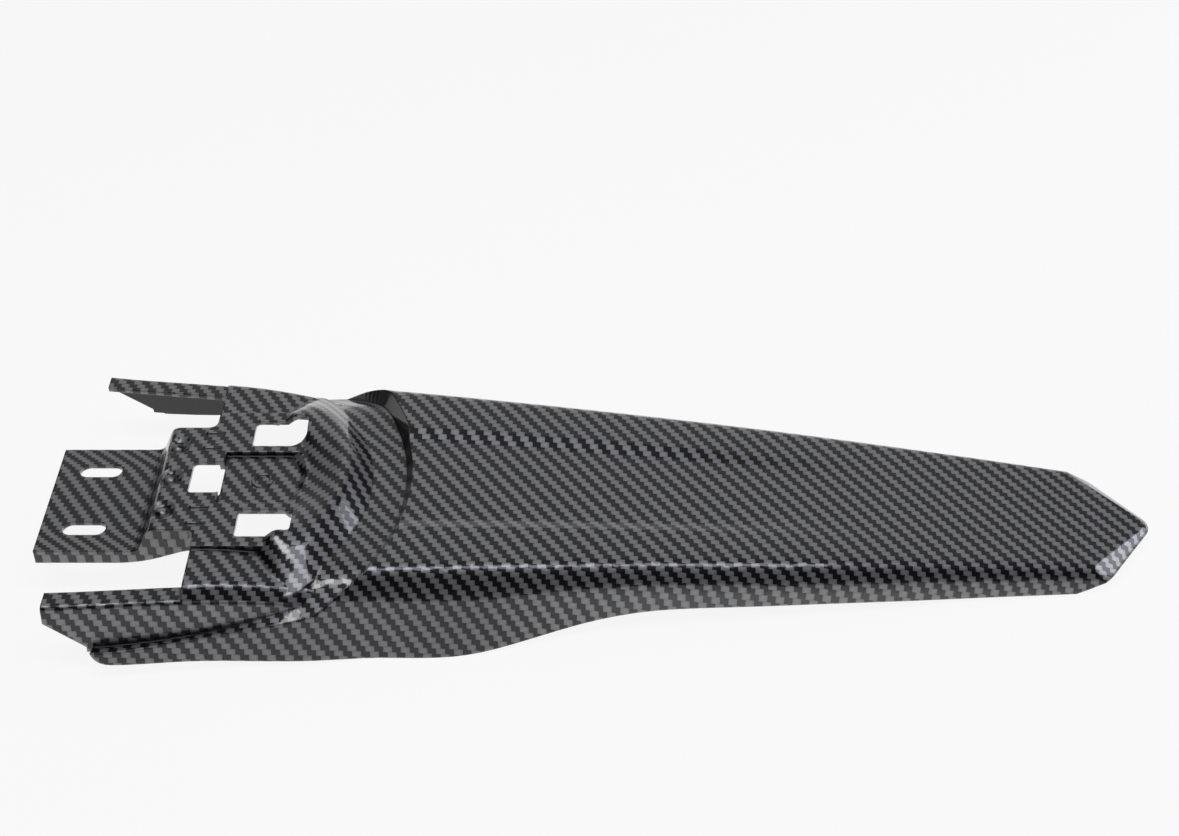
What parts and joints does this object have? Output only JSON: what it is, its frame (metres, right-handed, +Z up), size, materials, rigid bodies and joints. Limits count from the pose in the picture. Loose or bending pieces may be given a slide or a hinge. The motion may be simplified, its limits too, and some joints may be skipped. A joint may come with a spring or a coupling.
{
  "type": "motorcycle rear fender",
  "caption": "Rear fender moulded as one thin shell: slotted front tongue, stepped deck with windows, horseshoe hood, side arms and a long pointed tail open underneath.",
  "frame": {"origin": "centre of the bounding box's bottom, on the surface that the fender lies on", "axes": "+Y from the front tongue to the tail tip, +Z up, +X across"},
  "size_m": [0.1912, 0.5525, 0.046],
  "materials": {
    "carbon_shell": "twill carbon pattern under a glossy clear coat"
  },
  "bodies": {
    "root": {"rear_fender": "carbon_shell"}
  },
  "joints": []
}
